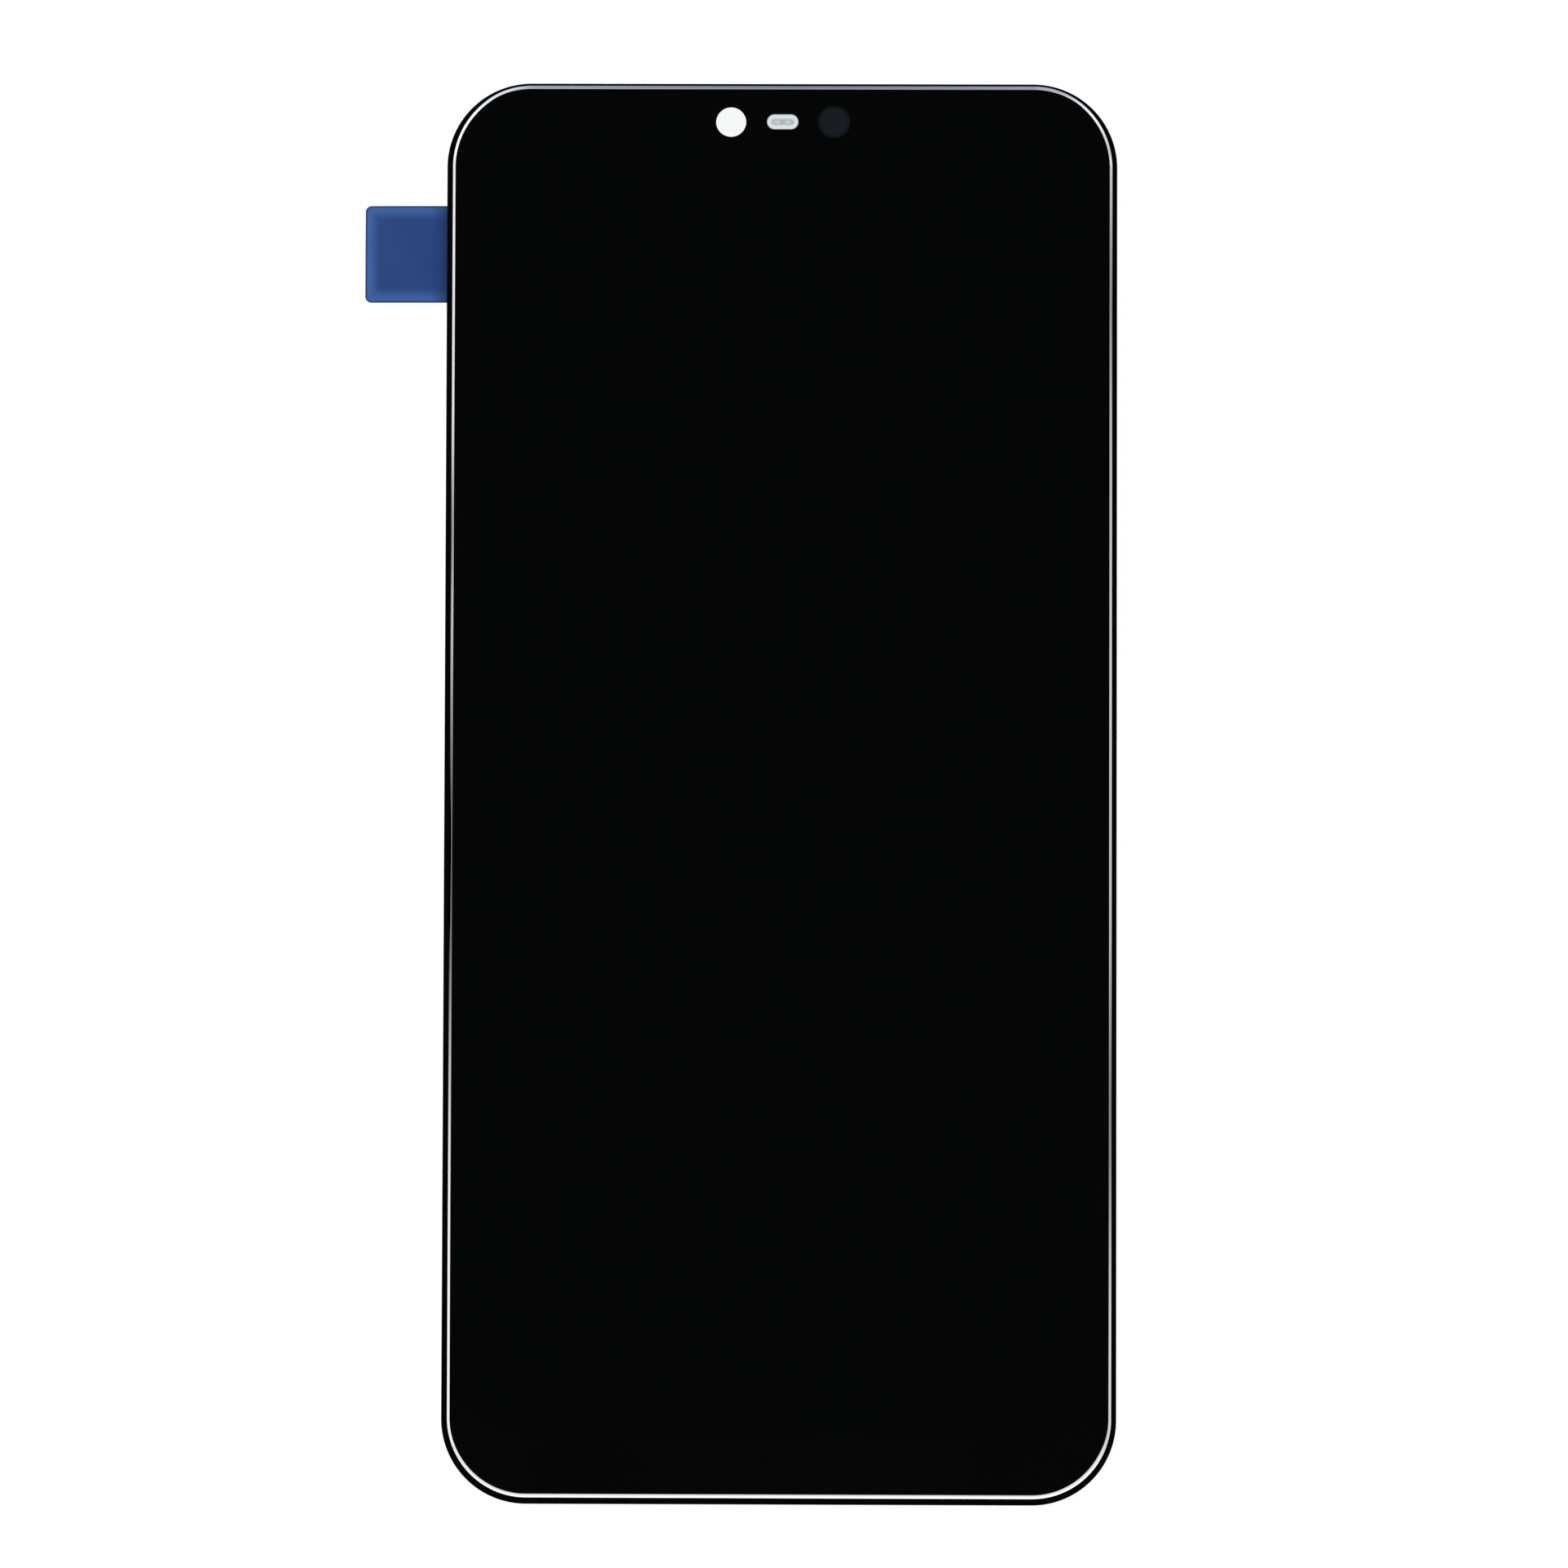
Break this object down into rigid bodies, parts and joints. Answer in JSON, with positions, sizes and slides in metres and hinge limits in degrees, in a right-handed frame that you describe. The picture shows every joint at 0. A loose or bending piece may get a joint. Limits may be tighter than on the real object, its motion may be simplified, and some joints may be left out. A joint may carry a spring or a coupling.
{
  "type": "phone lcd screen assembly",
  "caption": "Rounded phone LCD screen: black-bordered cover glass over a display cell and backlight, with a folded flex, a board plug and a blue pull tab on its adhesive liner.",
  "frame": {"origin": "centre of the border's bond plane: the outer face of the adhesive's release liner, level with the middle of the glass", "axes": "+Z out of the screen, +Y towards its top end with the camera window, +X to the right seen from the front"},
  "size_m": [0.0799, 0.1504, 0.0033],
  "materials": {
    "cover_glass": "polished, ink printed behind",
    "black_ink": "flat opaque ink",
    "infrared_ink": "smoky, passes infrared",
    "diffuser_white": "frosted",
    "black_foam_tape": "foam tape",
    "blue_liner": "thin translucent blue film",
    "clear_resin": "cured optical resin",
    "polarizer": "dark grey film",
    "cell_glass": "thin display glass",
    "seal_resin": "cured resin",
    "liquid_crystal": "thin liquid layer, solid here",
    "silicon": "bare polished die",
    "sealant": "soft coat",
    "black_tape": "thin black tape",
    "film_white": "optical film",
    "light_guide": "clear moulded plate",
    "reflector": "silvery white film",
    "white_mould": "white moulded plastic",
    "led_body": "white package, yellow phosphor",
    "polyimide": "amber flexible circuit",
    "tray_steel": "thin rolled sheet",
    "ground_cloth": "conductive cloth tape",
    "black_foam": "soft cushion foam",
    "chip_epoxy": "moulded epoxy",
    "ferrite": "dark ferrite",
    "capacitor_ceramic": "fired ceramic",
    "tinned_ends": "tin plating",
    "solder": "solder",
    "gold_plate": "thin gold plating",
    "plug_polymer": "black moulded polymer"
  },
  "bodies": {
    "root": {"cover_glass": "cover_glass", "border_print": "black_ink", "ir_window_print": "infrared_ink", "sensor_diffuser": "diffuser_white", "border_adhesive": "black_foam_tape", "adhesive_liner": "blue_liner", "optical_adhesive": "clear_resin", "front_polarizer": "polarizer", "color_filter_glass": "cell_glass", "cell_seal": "seal_resin", "liquid_crystal": "liquid_crystal", "tft_glass": "cell_glass", "driver_chip": "silicon", "ledge_sealant": "sealant", "rear_polarizer": "polarizer", "rim_tape": "black_tape", "prism_film_upper": "film_white", "prism_film_lower": "film_white", "diffuser_film": "film_white", "light_guide_plate": "light_guide", "reflector_film": "reflector", "mould_frame": "white_mould", "leds": "led_body", "led_flex": "polyimide", "backlight_tray": "tray_steel", "ground_tape": "ground_cloth", "foam_pads": "black_foam", "flex_tape": "black_tape", "flex_stiffener": "tray_steel", "display_flex": "polyimide", "solder_joints": "solder", "power_chips": "chip_epoxy", "power_inductor": "ferrite", "ceramic_capacitors": "capacitor_ceramic", "capacitor_terminals": "tinned_ends", "chip_resistors": "chip_epoxy", "resistor_terminals": "tinned_ends", "test_pads": "gold_plate", "board_connector": "plug_polymer", "connector_contacts": "gold_plate", "connector_clips": "tinned_ends"}
  },
  "joints": []
}
